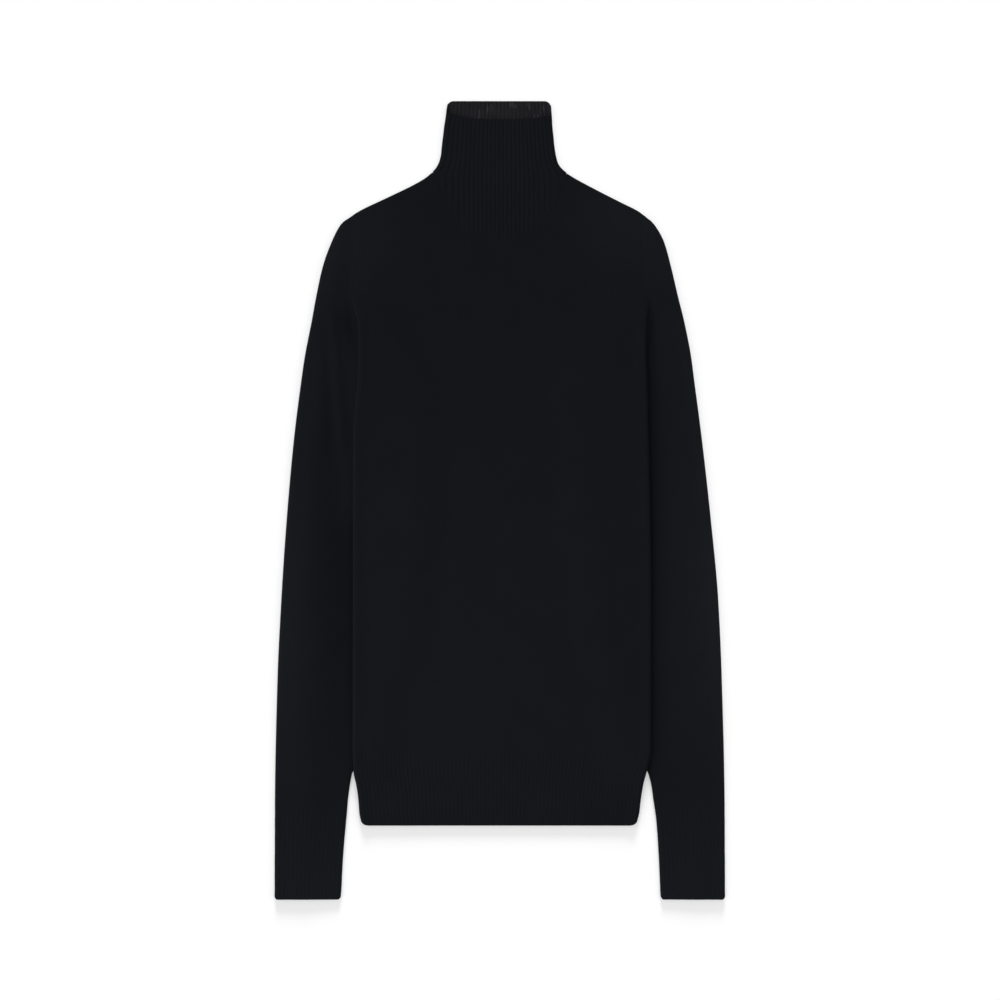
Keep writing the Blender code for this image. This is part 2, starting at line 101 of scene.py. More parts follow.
WIDTHS = "y minus_x plus_x"
BODY_EDGE = table(WIDTHS, (
    (-0.3575, 0.1524, 0.1509),
    (-0.3474, 0.1543, 0.1530),
    (-0.3298, 0.1555, 0.1551),
    (-0.3122, 0.1579, 0.1577),
    (-0.2979, 0.1609, 0.1614),
    (-0.2748, 0.1616, 0.1660),
    (-0.1050, 0.1613, 0.1663),
    (0.0500, 0.1612, 0.1640),
    (0.0880, 0.1604, 0.1630),
    (0.1090, 0.1586, 0.1627),
    (0.1290, 0.1563, 0.1621),
    (0.1640, 0.1555, 0.1610),
    (0.1930, 0.1559, 0.1611),
    (0.2110, 0.1600, 0.1630),
    (0.2235, 0.1637, 0.1652),
))
ARMHOLE = table(WIDTHS, (
    (0.2235, 0.1637, 0.1652),
    (0.2420, 0.1590, 0.1600),
    (0.2700, 0.1568, 0.1568),
    (0.3155, 0.1580, 0.1580),
))
SLEEVE_OUTER = table(WIDTHS, (
    (-0.4388, 0.2477, 0.2477),
    (-0.3300, 0.2472, 0.2471),
    (-0.1980, 0.2444, 0.2440),
    (-0.1100, 0.2402, 0.2401),
    (-0.0220, 0.2343, 0.2320),
    (0.0660, 0.2264, 0.2222),
    (0.1320, 0.2181, 0.2136),
    (0.1580, 0.2143, 0.2102),  # eased
    (0.1980, 0.2065, 0.2023),
    (0.2224, 0.2021, 0.1962),
    (0.2576, 0.1943, 0.1879),
    (0.2840, 0.1847, 0.1804),
    (0.3016, 0.1756, 0.1706),
    (0.3103, 0.1670, 0.1625),
))
SLEEVE_INNER = table(WIDTHS, (
    (-0.4388, 0.1747, 0.1767),
    (-0.3826, 0.1715, 0.1741),
    (-0.3474, 0.1683, 0.1714),
    (-0.3298, 0.1669, 0.1688),
    (-0.3122, 0.1646, 0.1663),
    (-0.2979, 0.1619, 0.1624),
))
SLEEVE_UNDER_BODY = table("y under_body", (
    (-0.2979, 0.0006),  # eased, and so are the last four
    (-0.2640, 0.0060),
    (-0.2200, 0.0160),
    (-0.1540, 0.0300),
    (-0.0660, 0.0430),
    (0.0220, 0.0510),
    (0.1100, 0.0510),
    (0.1480, 0.0390),
    (0.1770, 0.0160),
    (0.1935, 0.0060),
    (0.2100, 0.0026),
    (0.2235, 0.0003),
))
SLEEVE_CROWN = table("y height", (
    (-0.4388, 0.0012),
    (-0.3360, 0.0020),
    (-0.2500, 0.0036),
    (0.1000, 0.0044),
    (0.2235, 0.0036),
    (0.3100, 0.0012),
))
CROWN_START = 0.08  # share of the width in sight where the arch begins
CROWN_TOP = 0.60  # where it is highest
CROWN_DROP = 0.65  # share of its height that it loses again towards the outer fold
CROWN_WIDTH = 0.0400  # a sleeve narrower than this arches less
SHOULDER = table("x minus_x plus_x", (
    (0.0740, 0.3604, 0.3590),  # eased
    (0.0813, 0.3544, 0.3544),
    (0.0966, 0.3456, 0.3460),
    (0.1147, 0.3368, 0.3366),
    (0.1334, 0.3280, 0.3271),
    (0.1518, 0.3192, 0.3178),
    (0.1580, 0.3155, 0.3133),
))
COLLAR_EDGE = table(WIDTHS, (
    (0.3590, 0.0740, 0.0740),  # eased, and so are the next three
    (0.3604, 0.0740, 0.0724),
    (0.3632, 0.0716, 0.0692),
    (0.3670, 0.0690, 0.0660),
    (0.3720, 0.0667, 0.0636),
    (0.3808, 0.0648, 0.0614),
    (0.3984, 0.0630, 0.0592),
    (0.4182, 0.0602, 0.0576),
    (0.4388, 0.0572, 0.0562),
))

# ---- sizes of the looks
# Soft ridges (+) and troughs (-) of the layer that faces up, from one end to the other
CREASE = "x0 y0 x1 y1 width height"
CREASES = table(CREASE, (
    (-0.1832, 0.2200, -0.1695, 0.0100, 0.0036, 0.0017),  # right sleeve, upper arm
    (-0.1930, 0.2150, -0.1830, 0.0300, 0.0046, -0.0013),
    (-0.1655, 0.2150, -0.1640, 0.0200, 0.0075, -0.0006),  # beside the body
    (0.1730, 0.2200, 0.1735, 0.0000, 0.0080, -0.0009),
    (-0.1595, 0.1500, -0.1655, 0.2350, 0.0045, -0.0012),  # below the underarms
    (0.1680, 0.1500, 0.1650, 0.2400, 0.0050, -0.0012),
    (-0.1450, 0.2000, -0.0950, 0.2800, 0.0140, -0.0005),
    (0.1470, 0.2050, 0.1050, 0.2900, 0.0150, -0.0005),
    (0.2010, 0.1100, 0.2110, -0.0700, 0.0080, 0.0006),  # left sleeve
    (-0.2180, -0.0900, -0.2080, -0.2500, 0.0090, -0.0006),
    (0.2200, -0.1000, 0.2080, -0.2700, 0.0090, -0.0006),
    (0.0915, -0.0300, 0.0925, -0.2250, 0.0100, 0.0005),  # front of the body
    (0.1267, -0.0200, 0.1270, -0.2400, 0.0110, -0.0005),
    (-0.0980, 0.0600, -0.1060, -0.1700, 0.0150, -0.0002),
))
# and of the lowest layer, where it stands a little off the surface
HIDDEN_CREASES = table(CREASE, (
    (-0.1250, 0.1700, -0.0400, 0.2600, 0.0110, 0.0009),
    (0.1180, 0.1600, 0.0500, 0.2750, 0.0130, 0.0008),
    (-0.0500, 0.0500, -0.0620, -0.2200, 0.0120, 0.0007),
    (0.0350, -0.0300, 0.0420, -0.2500, 0.0100, 0.0006),
    (-0.2050, 0.1500, -0.1950, -0.0600, 0.0090, 0.0008),
    (0.1980, 0.1300, 0.1960, -0.0900, 0.0090, 0.0008),
))
CREASE_FADE = 0.35  # share of a crease's length over which each end fades out
FRONT_RISE_TOP = 0.3000  # the front layer starts to climb over the sleeves here
ARMHOLE_SHARE = 0.0300  # width of the sleeve that climbs with it
UNDERARM_SHARE = 0.0080  # and of the sleeve that stays up beside the body below the underarm
UNDERARM_OPENS = 0.0400  # where it has come down and the body's edge stands free
UNDERARM_EASE = 0.0180  # the arch of a sleeve runs this far past the underarm in a soft curve
UNDERARM_KINK = 0.26  # slope at which armhole and body edge meet there
UNDERARM_NARROWS = 1.2  # the climbing part narrows this much faster than it comes down
PRESSED_EDGE = 0.0040  # the creases of a sleeve fade out this far in under the body
SMOOTH_EDGE = 0.0120  # and over this width beside its outer fold
LEAST_IN_SIGHT = 0.0040  # least width that the arch of a sleeve is spread over
INNER_FOLD_SHARE = 0.4  # most of a sleeve's width that its inner fold takes
OUTER_FOLD_SHARE = 0.5  # and that its outer fold takes
# Slow waves in cloth smoothed out by hand: their height, and how far they run to a radian
SLACK = table("height along_x along_y start", (
    (0.00009, 0.0210, 0.0610, 0.4),
    (0.00010, -0.0430, 0.0370, 2.1),
    (0.00004, 0.0130, -0.0290, 4.0),
))
# Waves along a rib, moved on by a few radians from each rib to the next
RIB_WAVE = "size along shift"
RIB_WANDER = table(RIB_WAVE, ((0.035, 0.0110, 1.7), (0.03, 0.0270, 0.9)))
RIB_SWELL = table(RIB_WAVE, ((0.26, 0.0046, 2.3), (1.0, 0.0123, 4.1)))
FURROW_POWER = 1.6  # the higher, the narrower the furrow between two ribs

FOLD_STEPS = 8  # steps in a quarter turn of a fold
POINTS_PER_RIB = 8
FLAT_SPACING = 0.0036  # of rows and columns in plain knit
RIB_SPACING = 0.0026  # of rows in ribs
TOP_SEARCHES = 8  # rounds in which each column of a panel finds its top
PANEL_TOP_ROWS = 31
SLEEVE_TOP_ROWS = 30
SLEEVE_FRONT_COLUMNS = 36
SLEEVE_BACK_COLUMNS = 20
COLLAR_ROWS = 53
SAME_PLACE = 1e-6  # points closer than this are one
SMOOTH_ANGLE = math.radians(55.0)  # sharper edges of the cloth are shaded as edges
RIM = 0.0009  # radius of a rounded edge of the cloth
RIM_ROWS = (0.0, 0.00008, 0.00025, 0.0005, 0.0009)
SEWN = 0.93  # share of the thickness that is left at a linked or sewn edge
OPEN_RIM = 0.15  # and at an open rim, which is rounded off
SEWN_TOP = {"top": SEWN, "first": SEWN, "last": SEWN}
OPEN_FOOT = {"foot": OPEN_RIM, "first": SEWN, "last": SEWN}
OPEN_TOP = {"foot": SEWN, "top": OPEN_RIM}
RIB_FADE = 0.0100  # ribs of hem and cuffs come up over this length
SOFT_RIB = 0.42  # height of the ribs of hem and cuffs against that in the solids
COLLAR_RIB = 0.85  # and of those of the collar
FOOT_RIB = 0.25  # share of it that is left at the collar's foot
FOOT_RIB_FADE = 0.0180  # and the length over which they come up from there
UPRIGHT_FOOT = 0.0610  # half width the ribs in the middle of the collar keep to, at its foot
UPRIGHT_RIM = 0.0575  # and at its rim
FANNED = 3  # the higher, the more the flare is left to the ribs at the sides
RIM_CLIMB = 1.2  # of 2.0 round from front to back, where the rim has come up to the back's height
CORNER_FULL = 0.3  # the lower, the more of a side fold goes down with the rim's corner
BACK_OPENS = 0.7  # how flat the back's side folds open above the front's rim
MOUTH = 0.0008  # how far the two layers part at an open end
MOUTH_LENGTH = 0.0250  # and over what length at hem and cuffs
COLLAR_MOUTH_LENGTH = 0.0500
NECK_PATH_POINTS = 97
LINK_WIDTH = 0.0010  # a link of the chain round the neckline
LINK_YARN = 0.0005
LINK_STEPS = 10  # faces round a link
YARN_STEPS = 4  # and round its yarn
LINK_STRETCH = 1.5  # along the neckline
LINK_FLATTENED = 0.8
LINK_STEP = 0.0016
LINK_SUNK = 0.0001
LINK_SMOOTH_ANGLE = math.radians(60.0)
LINK_END = 0.0705  # the last link lies this far from the middle
FRONT = 1.0
BACK = -1.0
MINUS_X = -1.0
PLUS_X = 1.0


# ---- curves and soft unevenness

def smooth_step(value):
    value = np.clip(value, 0.0, 1.0)
    return value * value * (3.0 - 2.0 * value)


def through(rows, column, at):
    """A smooth curve through one column of a table, without overshoot, read at many places."""
    places = np.array([row[0] for row in rows])
    values = np.array([getattr(row, column) for row in rows])
    at = np.clip(np.asarray(at, float), places[0], places[-1])
    gaps = np.diff(places)
    slopes = np.diff(values) / gaps
    before, after = slopes[:-1], slopes[1:]
    agree = before * after > 0.0
    middle = np.where(agree, 2.0 * before * after / np.where(agree, before + after, 1.0), 0.0)
    tangents = np.concatenate([slopes[:1], middle, slopes[-1:]])
    i = np.clip(np.searchsorted(places, at) - 1, 0, len(gaps) - 1)
    t = (at - places[i]) / gaps[i]
    left = 1.0 - t
    start = (1.0 + 2.0 * t) * left ** 2 * values[i] + t * left ** 2 * gaps[i] * tangents[i]
    end = t * t * (3.0 - 2.0 * t) * values[i + 1] - t * t * left * gaps[i] * tangents[i + 1]
    return start + end


def by_side(rows, side, at):
    return np.where(side > 0, through(rows, "plus_x", at), through(rows, "minus_x", at))


def panel_edge(y, side):
    return np.where(y >= UNDERARM_Y, by_side(ARMHOLE, side, y), by_side(BODY_EDGE, side, y))


def sleeve_inner(y, side):
    hidden = by_side(BODY_EDGE, side, y) - through(SLEEVE_UNDER_BODY, "under_body", y)
    below = np.where(y >= SLEEVE_UNDER_BODY[0].y, hidden, by_side(SLEEVE_INNER, side, y))
    return np.where(y >= UNDERARM_Y, by_side(ARMHOLE, side, y), below)


def folded(y):
    """0 where an edge is an armhole seam, 1 where it is a fold."""
    return smooth_step((UNDERARM_Y - y) / FOLD_START)


def corner(y, from_edge, end_y, size):
    """How far up the rounded corner of an open end pulls the cloth."""
    wide, tall = size
    inside = np.clip(1.0 - from_edge / wide, 0.0, 1.0)
    near_end = 1.0 - smooth_step((y - end_y) / (CORNER_REACH * tall))
    return tall * (1.0 - np.sqrt(1.0 - inside * inside)) * near_end


def across_lift(x, y, side):
    """0 over the middle of the body and 1 over the sleeve that lies under its edge."""
    sleeve_fold = sleeve_inner(np.maximum(y, SLEEVE_UNDER_BODY[0].y), side)
    ramp_end = np.minimum(sleeve_fold, panel_edge(y, side)) - LIFT_LEAD
    return smooth_step((np.abs(x) - ramp_end + LIFT_RAMP) / LIFT_RAMP)


def lift(x, y, side):
    """Height of the body's underside."""
    down_from_underarm = smooth_step((UNDERARM_Y - y) / SLEEVE_TUCK)
    up_from_hem = smooth_step((y - LIFT_END) / LIFT_END_RAMP)
    return LIFT * down_from_underarm * up_from_hem * across_lift(x, y, side)


def front_level(y):
    """How high the front layer has climbed over the sleeves."""
    return LIFT * smooth_step((FRONT_RISE_TOP - y) / (FRONT_RISE_TOP - UNDERARM_Y + SLEEVE_TUCK))


def front_rise(y):
    """How much of that it climbs sooner than the back layer."""
    back = LIFT * smooth_step((UNDERARM_Y - y) / SLEEVE_TUCK)
    return np.maximum(front_level(y) - back, 0.0)


def neckline(x, drop):
    share = np.clip(x / NECK_POINT[0], -1.0, 1.0)
    return NECK_POINT[1] - NECK_TILT * share - drop * (1.0 - np.abs(share) ** NECK_CURVE)


def shoulder_edge(x):
    """The outline of the shoulder, run on past the neck point as far as its round reaches."""
    past = np.maximum(NECK_POINT[0] - np.abs(x), 0.0)
    return by_side(SHOULDER, np.sign(x), np.abs(x)) + NECK_SLOPE * past


def panel_top(x, drop):
    return np.where(np.abs(x) <= NECK_POINT[0], neckline(x, drop), shoulder_edge(x))


def crease_relief(table, x, y):
    """The main folds, each a soft ridge or trough with faded ends."""
    total = np.zeros_like(x)
    for c in table:
        along = np.array([c.x1 - c.x0, c.y1 - c.y0])
        length = np.hypot(*along)
        t = ((x - c.x0) * along[0] + (y - c.y0) * along[1]) / length ** 2
        off = ((x - c.x0) * along[1] - (y - c.y0) * along[0]) / length
        ends = smooth_step(t / CREASE_FADE) * smooth_step((1.0 - t) / CREASE_FADE)
        total += c.height * ends * np.exp(-((off / c.width) ** 2))
    return total


def slack(x, y):
    """Slow unevenness, a fraction of a millimetre."""
    return sum(w.height * np.sin(x / w.along_x + y / w.along_y + w.start) for w in SLACK)


def upper_relief(x, y):
    return crease_relief(CREASES, x, y) + slack(x, y)


def lower_relief(x, y):
    return crease_relief(HIDDEN_CREASES, x, y)


def along_ribs(wave, ribs, y):
    return wave.size * np.sin(y / wave.along + ribs * wave.shift)


def rib_wave(ribs, y):
    """1 on top of a broad rib, 0 in the narrower furrow beside it. The ribs wander a little and
    swell and sink along their length."""
    number = np.floor(ribs + 0.5)
    place = ribs + (along_ribs(RIB_WANDER[0], ribs, y) + along_ribs(RIB_WANDER[1], ribs, y))
    swell = along_ribs(RIB_SWELL[0], number, y) * along_ribs(RIB_SWELL[1], number, y)
    furrow = (0.5 - 0.5 * np.cos(math.tau * place)) ** FURROW_POWER
    return (1.0 - furrow) * (1.0 - RIB_SWELL[0].size + swell)


def ribbing(ribbed, rib_share, ribs, y):
    """Thickness of the cloth where it is ribbed from 0 to 1, how far its ribs stand up from it,
    and how deep its middle lies."""
    thickness = CLOTH + (RIB_CLOTH - CLOTH) * ribbed
    raised = RIB_HEIGHT * rib_share * ribbed
    depth = thickness / 2 + raised * (1.0 - rib_wave(ribs, y))
    return thickness, raised, depth


# ---- laying the cloth

def rows_between(start, end, spacing, rim_at_start):
    """Places from start up to end, closer together at a rounded rim."""
    count = round((end - start) / spacing)
    if not rim_at_start:
        return np.linspace(start, end, count + 1)
    rim = [start + step for step in RIM_ROWS]
    return np.array(rim[:-1] + list(np.linspace(rim[-1], end, count + 1)))


def rounded_rim(distance, least):
    """Share of the cloth's thickness at a distance from its edge."""
    inside = np.clip(1.0 - distance / RIM, 0.0, 1.0)
    return np.maximum(np.sqrt(1.0 - inside ** 2), least)


def lengths(points, axis):
    """Length of the cloth up to each point, along the columns (0) or the rows (1)."""
    steps = np.linalg.norm(np.diff(points, axis=axis), axis=2)
    start = np.zeros_like(np.take(steps, [0], axis=axis))
    return np.cumsum(np.concatenate([start, steps], axis=axis), axis=axis)


def lay_cloth(piece_of, points, wales, thickness, rims, materials, turned=False, ring=False):
    """A sheet of cloth through a grid of points, rows by columns. They run from left to right as
    seen from its outer side, or the other way if turned. piece_of holds its name, its node and
    its knit, which is not used, wales the place of each column across the knit, rims the edges
    that are thinned and how far."""
    name, node, knit = piece_of
    rows, columns = points.shape[:2]
    share = thickness / CLOTH * np.ones((rows, columns))
    if turned:
        points, wales, share = points[:, ::-1], wales[::-1], share[:, ::-1]
    up = lengths(points, 0)
    across = lengths(points, 1)
    distance = {"foot": up, "top": up[-1:] - up, "first": across, "last": across[:, -1:] - across}
    for rim, least in rims.items():
        share = share * rounded_rim(distance[rim], least)
    bpy.ops.object.select_all(action="DESELECT")
    bpy.ops.mesh.primitive_grid_add(x_subdivisions=columns - 1, y_subdivisions=rows - 1)
    piece = bpy.context.object
    piece.name = name
    piece.data.name = name
    piece.data.vertices.foreach_set("co", points.reshape(-1))
    corners = np.empty(len(piece.data.loops), int)
    piece.data.loops.foreach_get("vertex_index", corners)
    stitches = np.stack([wales * np.ones_like(up), up], axis=2).reshape(-1, 2)
    piece.data.uv_layers.active.data.foreach_set("uv", stitches[corners].reshape(-1))
    group = piece.vertex_groups.new(name="thickness")
    levels = np.round(share, 2).reshape(-1)
    for level in np.unique(levels):
        group.add(np.flatnonzero(levels == level).tolist(), float(level), "REPLACE")
    if ring:
        bpy.ops.object.mode_set(mode="EDIT")
        bpy.ops.mesh.select_all(action="SELECT")
        bpy.ops.mesh.remove_doubles(threshold=SAME_PLACE)
        bpy.ops.object.mode_set(mode="OBJECT")
    for material in materials:
        piece.data.materials.append(material)
    wall = piece.modifiers.new("thickness", "SOLIDIFY")
    wall.thickness = CLOTH
    wall.offset = 0.0
    wall.vertex_group = "thickness"
    wall.material_offset = len(materials) - 1
    bpy.ops.object.modifier_apply(modifier=wall.name)
    bpy.ops.object.shade_smooth_by_angle(angle=SMOOTH_ANGLE)
    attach(piece, "root")
    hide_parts(node)
    return piece


def joined(kind, parts):
    """Columns made of parts that follow each other. A single number fills the whole part."""
    filled = [np.broadcast_arrays(*part) for part in parts]
    return kind(*(np.concatenate(values) for values in zip(*filled)))


def fold_turns():
    """Angles past the flat cloth, as far as the tip of a fold."""
    return np.radians(np.linspace(0.0, 90.0, FOLD_STEPS + 1))[1:]


def soft_ribs(end, top, ribs):
    """Rows of the ribs of hem or cuff, and what ribbing says of each point."""
    rows = rows_between(end, top, RIB_SPACING, True)
    y = rows[:, None] * np.ones(len(ribs))
    return y, *ribbing(smooth_step((top - y) / RIB_FADE), SOFT_RIB, ribs, y)


# ---- body panels and hem

Columns = namedtuple("Columns", "side share turn ribs")


def columns_across(shares, fold_ribs, flat_ribs):
    """Columns from -X to +X: a fold, the flat cloth, a fold, with their place among the ribs."""
    turns = fold_turns()
    beyond = flat_ribs / 2 + fold_ribs * turns / math.radians(90.0)
    return joined(Columns, (
        (-1.0, 1.0, turns[::-1], -beyond[::-1]),
        (np.where(shares < 0, -1.0, 1.0), np.abs(shares), 0.0, shares / 2 * flat_ribs),
        (1.0, 1.0, turns, beyond),
    ))


def outer_reach(columns, y):
    """Half width at which a column's outer face lies."""
    edge = panel_edge(y, columns.side)
    in_fold = edge - FOLD_ROUND * (1.0 - np.sin(columns.turn))
    return np.where(columns.turn > 0.0, in_fold, (edge - FOLD_ROUND) * columns.share)


def body_points(columns, y, facing, depth, raised, top_turn):
    """Points of a body wall. depth is how far in from the outer face they lie, raised how much
    higher the outer face stands than plain cloth, top_turn how far round the shoulder they are."""
    side = columns.side
    edge = panel_edge(y, side)
    fold = folded(y)
    outer_x = outer_reach(columns, y)
    round_x = edge - FOLD_ROUND + (FOLD_ROUND - depth) * np.sin(columns.turn)
    x = np.where(columns.turn > 0.0, fold * round_x + (1.0 - fold) * outer_x, outer_x)
    rise = BODY_FOLD_RISE * fold * (1.0 - smooth_step((edge - outer_x) / FOLD_REACH))
    mouth = MOUTH * (1.0 - smooth_step((y - HEM_Y) / MOUTH_LENGTH))
    height = STACK + rise + raised + mouth
    bend = (1.0 - fold * (1.0 - np.cos(columns.turn))) * np.cos(top_turn)
    z = lift(outer_x, y, side) + height / 2 + facing * (height / 2 - depth) * bend
    flatness = np.cos(columns.turn * fold) * np.cos(top_turn)
    if facing == FRONT:
        z = z + front_rise(y) * across_lift(outer_x, y, side)
        z = z + upper_relief(side * outer_x, y) * flatness
    else:
        z = z + lower_relief(side * outer_x, y) * flatness
    y = y + corner(y, edge - outer_x, HEM_Y, HEM_CORNER)
    return np.stack([side * x, y, z], axis=2)


def body_panel(name, node, facing, materials):
    drop = NECK_DROP if facing == FRONT else BACK_NECK_DROP
    half_width = panel_edge(UNDERARM_Y, PLUS_X)
    count = 2 * round(half_width / FLAT_SPACING) + 1
    neck_points = np.array([-1.0, 1.0]) * NECK_POINT[0] / (ARMHOLE[-1].plus_x - FOLD_ROUND)
    shares = np.sort(np.concatenate([np.linspace(-1.0, 1.0, count), neck_points]))
    columns = columns_across(shares, 1.0, 2 * half_width / WALE)
    depth = CLOTH / 2
    # each column's top is found where its own line meets the shoulder or the neckline
    top = np.full(len(columns.side), NECK_POINT[1])
    for _ in range(TOP_SEARCHES):
        reach = outer_reach(columns, top)
        top = panel_top(columns.side * reach, drop)
    rows = rows_between(HEM_RIB_TOP, UNDERARM_Y, FLAT_SPACING, False)
    below = rows[:, None] * np.ones_like(top)
    steps = np.linspace(0.0, 1.0, PANEL_TOP_ROWS)[1:, None]
    above = UNDERARM_Y + (top - FOLD_ROUND - UNDERARM_Y) * steps
    bent = top - FOLD_ROUND + FOLD_ROUND * np.sin(fold_turns())[:, None]
    y = np.concatenate([below, above, bent])
    over = np.clip(1.0 - (shoulder_edge(columns.side * reach) - y) / FOLD_ROUND, 0.0, 1.0)
    points = body_points(columns, y - depth * over, facing, depth, 0.0, np.arcsin(over))
    wales = columns.ribs * WALE
    return lay_cloth((name, node, "plain_knit"), points, wales, CLOTH, SEWN_TOP, materials,
                     turned=facing == BACK)


def hem(name, node, facing, materials):
    flat_points = HEM_RIBS * POINTS_PER_RIB + 1
    columns = columns_across(np.linspace(-1.0, 1.0, flat_points), FOLD_RIBS / 2, HEM_RIBS)
    y, thickness, raised, depth = soft_ribs(HEM_Y, HEM_RIB_TOP, columns.ribs)
    points = body_points(columns, y, facing, depth, raised, 0.0)
    wales = columns.ribs * RIB_PITCH
    return lay_cloth((name, node, "rib_knit"), points, wales, thickness, OPEN_FOOT, materials,
                     turned=facing == BACK)


# ---- sleeves and cuffs

Loop = namedtuple("Loop", "flat inner_turn outer_turn facing ribs")


def loop_columns(front_points, back_points, ribs):
    """Columns of a flattened loop that is open at its inner fold: up over the inner fold, across
    the front, round the outer fold, back underneath and up the inner fold again."""
    turns = fold_turns()
    half_turn = np.linspace(0.0, math.pi, 2 * FOLD_STEPS + 1)[1:-1]
    first = -FOLD_RIBS / 2 * turns[::-1] / math.radians(90.0)
    under = ribs + FOLD_RIBS + np.linspace(0.0, ribs, back_points)
    return joined(Loop, (
        (0.0, turns[::-1], 0.0, 1.0, first),
        (np.linspace(0, 1, front_points), 0.0, 0.0, 1.0, np.linspace(0.0, ribs, front_points)),
        (1.0, 0.0, half_turn, 1.0, ribs + FOLD_RIBS * half_turn / math.pi),
        (np.linspace(1, 0, back_points), 0.0, 0.0, -1.0, under),
        (0.0, turns, 0.0, -1.0, under[-1] - first[::-1]),
    ))


def edge_in_sight(y, side, inner_edge):
    """Where a sleeve comes out of the armhole or from under the body, eased past the underarm."""
    body_edge = np.where(y >= UNDERARM_Y, inner_edge, by_side(BODY_EDGE, side, y))
    near = np.maximum(UNDERARM_EASE - np.abs(y - UNDERARM_Y), 0.0)
    return np.maximum(body_edge, inner_edge) - UNDERARM_KINK * near ** 2 / (2.0 * UNDERARM_EASE)


def sleeve_height(x, y, side, inner_edge, outer_edge):
    """Both layers and the air in them: pressed flat under the body, arched beside it."""
    in_sight = edge_in_sight(y, side, inner_edge)
    width = np.maximum(outer_edge - in_sight, LEAST_IN_SIGHT)
    share = (x - in_sight) / width
    arch = smooth_step((share - CROWN_START) / (CROWN_TOP - CROWN_START))
    arch = arch * (1.0 - CROWN_DROP * smooth_step((share - CROWN_TOP) / (1.0 - CROWN_TOP)))
    rise = SLEEVE_FOLD_RISE * (1.0 - smooth_step((outer_edge - x) / FOLD_REACH))
    crown = through(SLEEVE_CROWN, "height", y) * smooth_step(width / CROWN_WIDTH)
    return STACK + rise + crown * arch


def sleeve_points(loop, y_inner, y_outer, side, depth, raised):
    inner_edge = sleeve_inner(y_inner, side)
    outer_edge = by_side(SLEEVE_OUTER, side, y_outer)
    fold = folded(y_inner)
    span = outer_edge - inner_edge
    inner_round = np.minimum(FOLD_ROUND, INNER_FOLD_SHARE * span)
    outer_round = np.minimum(FOLD_ROUND, OUTER_FOLD_SHARE * span)
    in_inner = loop.inner_turn > 0
    in_outer = loop.outer_turn > 0
    upper = loop.facing > 0
    start = inner_edge + inner_round
    end = outer_edge - outer_round
    surface_x = start + (end - start) * loop.flat
    surface_x = np.where(in_inner, start - inner_round * np.sin(loop.inner_turn), surface_x)
    surface_x = np.where(in_outer, end + outer_round * np.sin(loop.outer_turn), surface_x)
    y = y_inner + (y_outer - y_inner) * (surface_x - inner_edge) / span
    mouth = MOUTH * (1.0 - smooth_step((y - CUFF_END_Y) / MOUTH_LENGTH))
    height = sleeve_height(surface_x, y, side, inner_edge, outer_edge) + raised + mouth
    tip = sleeve_height(outer_edge, y, side, inner_edge, outer_edge) + raised + mouth
    round_in = start - (inner_round - depth) * np.sin(loop.inner_turn)
    x = np.where(in_inner, fold * round_in + (1.0 - fold) * surface_x, surface_x)
    x = np.where(in_outer, end + (outer_round - depth) * np.sin(loop.outer_turn), x)
    bend = 1.0 - fold * (1.0 - np.cos(loop.inner_turn))
    upper_z = height / 2 + (height / 2 - depth) * bend
    lower_z = STACK / 2 - (STACK / 2 - depth) * bend
    z = np.where(upper, upper_z, lower_z)
    z = np.where(in_outer, tip / 2 + (tip / 2 - depth) * np.cos(loop.outer_turn), z)
    off_fold = smooth_step((outer_edge - surface_x) / SMOOTH_EDGE)
    flatness = np.cos(loop.inner_turn * fold) * off_fold
    body_edge = by_side(BODY_EDGE, side, y)
    seen = smooth_step((surface_x - body_edge) / PRESSED_EDGE + 1.0)
    seen = np.where(y > UNDERARM_Y - FOLD_START, 1.0, seen)
    down = (UNDERARM_Y - y) / UNDERARM_OPENS
    beside = surface_x - edge_in_sight(y, side, inner_edge)
    narrowed = smooth_step(UNDERARM_NARROWS * down)
    share = ARMHOLE_SHARE + (UNDERARM_SHARE - ARMHOLE_SHARE) * narrowed
    climbs = (1.0 - smooth_step(down)) * (1.0 - smooth_step(beside / share))
    climbs = climbs * np.where(down > 0.0, smooth_step(beside / PRESSED_EDGE + 1.0), 1.0)
    z = z + np.where(upper, front_level(y) * climbs, 0.0)
    upper_creases = upper_relief(side * surface_x, y) * seen
    z = z + np.where(upper, upper_creases, lower_relief(side * surface_x, y)) * flatness
    from_edge = np.minimum(surface_x - inner_edge, outer_edge - surface_x)
    y = y + corner(y, from_edge, CUFF_END_Y, CUFF_CORNER)
    return np.stack([side * x, y, z], axis=2)


def sleeve(name, node, side, materials):
    loop = loop_columns(SLEEVE_FRONT_COLUMNS, SLEEVE_BACK_COLUMNS, 0)
    seam_top = float(panel_top(np.array(side * SHOULDER[-1].x), NECK_DROP))
    below = rows_between(CUFF_RIB_TOP, UNDERARM_Y, FLAT_SPACING, False)
    steps = np.linspace(0.0, 1.0, SLEEVE_TOP_ROWS)[1:]
    y_inner = np.concatenate([below, UNDERARM_Y + (seam_top - UNDERARM_Y) * steps])[:, None]
    y_outer = np.concatenate([below, UNDERARM_Y + (SLEEVE_TOP_Y - UNDERARM_Y) * steps])[:, None]
    points = sleeve_points(loop, y_inner, y_outer, side, CLOTH / 2, 0.0)
    wales = lengths(points, 1)[0]
    return lay_cloth((name, node, "plain_knit"), points, wales, CLOTH, SEWN_TOP, materials,
                     turned=side < 0)


